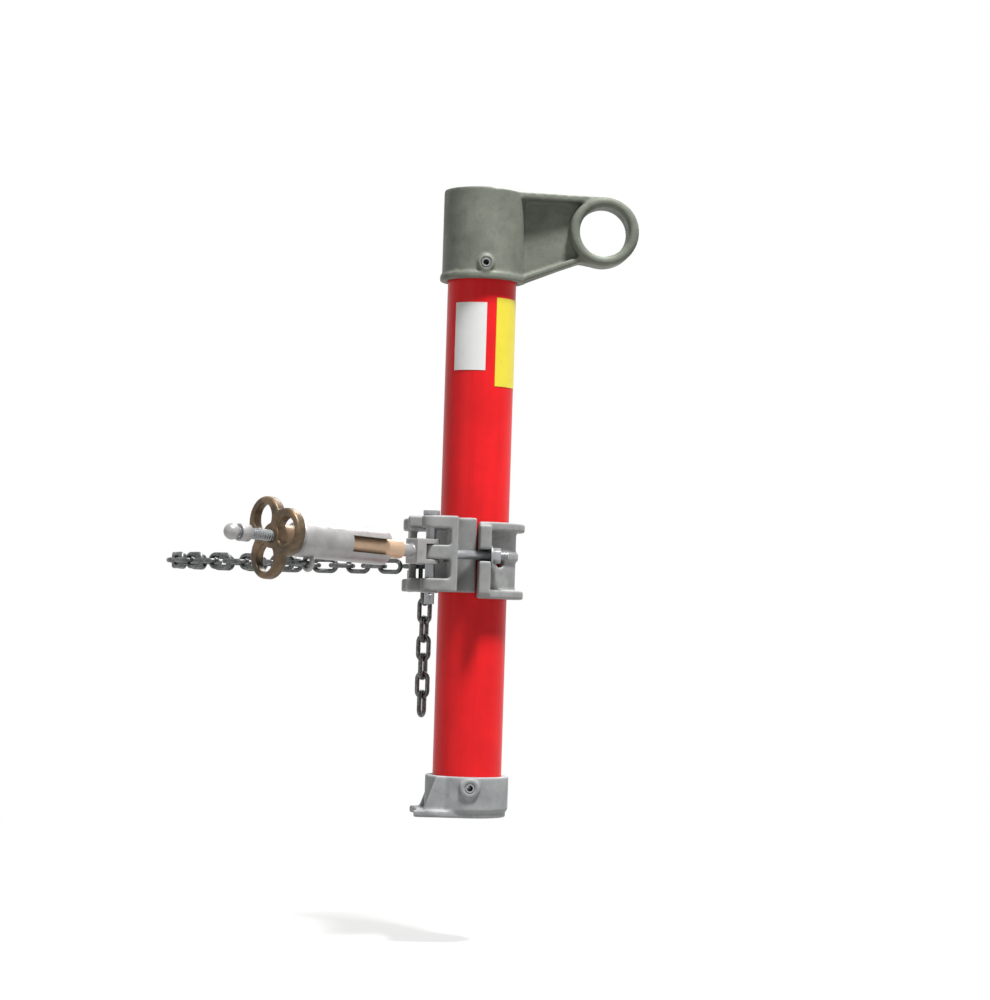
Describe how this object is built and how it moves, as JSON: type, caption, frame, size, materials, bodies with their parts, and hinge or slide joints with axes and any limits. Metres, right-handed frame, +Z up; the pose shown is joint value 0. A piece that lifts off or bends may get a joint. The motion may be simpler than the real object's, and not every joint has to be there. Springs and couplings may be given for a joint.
{
  "type": "gin pole",
  "caption": "Short fibreglass mast with a cast lifting eye and foot, held in a clamp saddle that chains to a round pole with a handwheel screw tightener.",
  "frame": {"origin": "the point where the saddle's curved seat meets the round pole, at the saddle's mid height", "axes": "+Z up along the mast, +X away from the pole along the arm, +Y to the side with the chain slot"},
  "size_m": [0.511, 0.3903, 0.6936],
  "materials": {
    "red_fibreglass": "glossy red gel coat over wound fibreglass",
    "cast_aluminium": "sand cast, dull grey, fettled edges",
    "zinc_steel": "zinc plated, bright",
    "forged_steel": "plated forging, satin",
    "bronze": "dark cast bronze, handled bright on the rims",
    "chain_steel": "weathered galvanised wire",
    "white_sheet": "bare white film",
    "yellow_sheet": "bare yellow film"
  },
  "bodies": {
    "saddle": {"saddle_body": "cast_aluminium", "clamp_cap": "cast_aluminium", "clamp_bolts": "zinc_steel", "clamp_washers": "zinc_steel", "clamp_nuts": "zinc_steel", "hinge_pin": "zinc_steel", "pin_washer": "zinc_steel", "pin_cotter": "zinc_steel", "slot_link": "chain_steel", "seat_link": "chain_steel"},
    "mast": {"mast_tube": "red_fibreglass", "head_casting": "cast_aluminium", "head_pin": "zinc_steel", "tail_casting": "cast_aluminium", "tail_pin": "zinc_steel", "white_label": "white_sheet", "yellow_label": "yellow_sheet"},
    "draw_bar": {"fork_end": "forged_steel", "draw_rod": "bronze", "draw_screw": "zinc_steel", "stop_collar": "zinc_steel", "end_ball": "zinc_steel"},
    "barrel": {"barrel": "forged_steel", "thrust_washer": "zinc_steel", "chain_lug": "forged_steel", "wrap_chain_near": "chain_steel"},
    "chain_back": {"wrap_chain_back": "chain_steel"},
    "chain_far": {"wrap_chain_far": "chain_steel"},
    "handwheel": {"handwheel": "bronze"},
    "tail_upper": {"tail_chain_upper": "chain_steel"},
    "tail_lower": {"tail_chain_lower": "chain_steel"}
  },
  "joints": [
    {"name": "mast_slide", "type": "slide", "parent": "saddle", "child": "mast", "axis": [0, 0, 1], "range_m": [-0.14, 0.18]},
    {"name": "tightener_swing", "type": "hinge", "parent": "saddle", "child": "draw_bar", "pos_m": [0.017, -0.078, 0.0044], "axis": [0, 0, 1], "range_deg": [0, 60]},
    {"name": "take_up", "type": "slide", "parent": "draw_bar", "child": "barrel", "axis": [-0.7979, -0.6013, 0.0419], "range_m": [0, 0.0261]},
    {"name": "wheel_spin", "type": "hinge", "parent": "barrel", "child": "handwheel", "pos_m": [-0.15218, -0.20549, 0.01227], "axis": [-0.7979, -0.6013, 0.0419], "range_deg": [0, 1560]},
    {"name": "chain_open_back", "type": "hinge", "parent": "barrel", "child": "chain_back", "pos_m": [-0.2574, -0.02714, -0.01247], "axis": [0, 0, 1], "range_deg": [0, 30]},
    {"name": "chain_open_far", "type": "hinge", "parent": "chain_back", "child": "chain_far", "pos_m": [-0.15884, 0.13085, -0.0107], "axis": [0, 0, 1], "range_deg": [0, 30]},
    {"name": "tail_swing", "type": "hinge", "parent": "saddle", "child": "tail_upper", "pos_m": [0.022, 0.072, -0.03], "axis": [0.8733, -0.4873, 0], "range_deg": [0, 40]},
    {"name": "tail_fold", "type": "hinge", "parent": "tail_upper", "child": "tail_lower", "pos_m": [0.022, 0.072, -0.072], "axis": [0.8733, -0.4873, 0], "range_deg": [0, 40]}
  ],
  "couplings": [
    {"joint": "take_up", "follows": "wheel_spin", "m_per_rad": 0.00095493}
  ]
}
